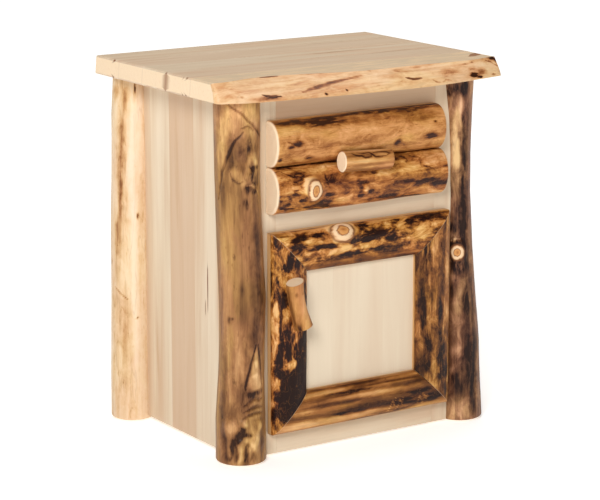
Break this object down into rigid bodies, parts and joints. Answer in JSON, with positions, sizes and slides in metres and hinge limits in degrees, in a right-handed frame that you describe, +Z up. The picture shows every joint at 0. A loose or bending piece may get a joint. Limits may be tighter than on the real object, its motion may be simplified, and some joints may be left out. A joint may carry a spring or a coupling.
{
  "type": "nightstand with drawer and door",
  "caption": "Rustic nightstand: live-edge slab top on four peeled log posts, pale panel sides, a split-log drawer with a twig pull and a split-log door with a branch pull.",
  "frame": {"origin": "on the floor, under the centre of the object's box", "axes": "+Z up; the front with the drawer and the door faces -Y; +X is to the right for a person who looks at the front"},
  "size_m": [0.632, 0.482, 0.711],
  "materials": {
    "slab_top": "pale tan aspen slab with long brown grain streaks, satin clear coat",
    "peeled_log": "peeled aspen log, honey wood with dark brown inner-bark streaks and knots, glossy lacquer",
    "half_log": "split aspen log with near-black cambium patches and orange islands, glossy lacquer",
    "twig_pull": "peeled branch, smooth tan wood with bark remnants, satin lacquer",
    "pale_panel": "cream edge-glued aspen staves, satin clear coat",
    "drawer_box_wood": "plain sanded pine, thin clear coat",
    "slide_steel": "zinc-plated sheet steel",
    "hinge_bronze": "dark oil-rubbed bronze",
    "screw_steel": "yellow zinc",
    "catch_plastic": "dark brown moulded plastic",
    "glide_plastic": "dark brown matt plastic"
  },
  "bodies": {
    "case": {"top_board_1": "slab_top", "top_board_2": "slab_top", "top_board_3": "slab_top", "top_board_4": "slab_top", "top_board_live_edge": "slab_top", "post_front_left": "peeled_log", "post_front_right": "peeled_log", "post_rear_left": "peeled_log", "post_rear_right": "peeled_log", "glide_front_left": "glide_plastic", "glide_front_right": "glide_plastic", "glide_rear_left": "glide_plastic", "glide_rear_right": "glide_plastic", "stile_left": "pale_panel", "stile_right": "pale_panel", "rail_top": "pale_panel", "rail_middle": "pale_panel", "rail_bottom": "pale_panel", "side_panel_left": "pale_panel", "side_panel_right": "pale_panel", "back_panel": "pale_panel", "cabinet_floor": "pale_panel", "dust_panel": "pale_panel", "top_cleat_left": "drawer_box_wood", "top_cleat_right": "drawer_box_wood", "slide_outer_left": "slide_steel", "slide_outer_right": "slide_steel", "slide_runner_left": "drawer_box_wood", "slide_runner_right": "drawer_box_wood", "hinge_frame_leaf_lower": "hinge_bronze", "hinge_frame_leaf_upper": "hinge_bronze", "magnetic_catch": "catch_plastic"},
    "drawer": {"drawer_subfront": "drawer_box_wood", "drawer_half_log_lower": "half_log", "drawer_half_log_upper": "half_log", "drawer_pull_peg": "twig_pull", "drawer_pull_screw_1": "screw_steel", "drawer_pull_screw_2": "screw_steel", "drawer_side_left": "drawer_box_wood", "drawer_side_right": "drawer_box_wood", "drawer_back": "drawer_box_wood", "drawer_bottom": "drawer_box_wood", "slide_inner_left": "slide_steel", "slide_inner_right": "slide_steel"},
    "slide_left": {"slide_middle_left": "slide_steel"},
    "slide_right": {"slide_middle_right": "slide_steel"},
    "door": {"door_half_log_left": "half_log", "door_half_log_right": "half_log", "door_half_log_top": "half_log", "door_half_log_bottom": "half_log", "door_panel": "pale_panel", "door_pull_branch": "twig_pull", "door_pull_screw": "screw_steel", "hinge_door_leaf_lower": "hinge_bronze", "hinge_door_leaf_upper": "hinge_bronze", "catch_strike_plate": "slide_steel"}
  },
  "joints": [
    {"name": "drawer_slide", "type": "slide", "parent": "case", "child": "drawer", "axis": [0, -1, 0], "range_m": [0, 0.29]},
    {"name": "slide_middle_left", "type": "slide", "parent": "case", "child": "slide_left", "axis": [0, -1, 0], "range_m": [0, 0.145]},
    {"name": "slide_middle_right", "type": "slide", "parent": "case", "child": "slide_right", "axis": [0, -1, 0], "range_m": [0, 0.145]},
    {"name": "door_hinge", "type": "hinge", "parent": "case", "child": "door", "pos_m": [0.2127, -0.1766, 0.236], "axis": [0, 0, 1], "range_deg": [0, 95]}
  ],
  "couplings": [
    {"joint": "slide_middle_left", "follows": "drawer_slide", "ratio": 0.5},
    {"joint": "slide_middle_right", "follows": "drawer_slide", "ratio": 0.5}
  ]
}
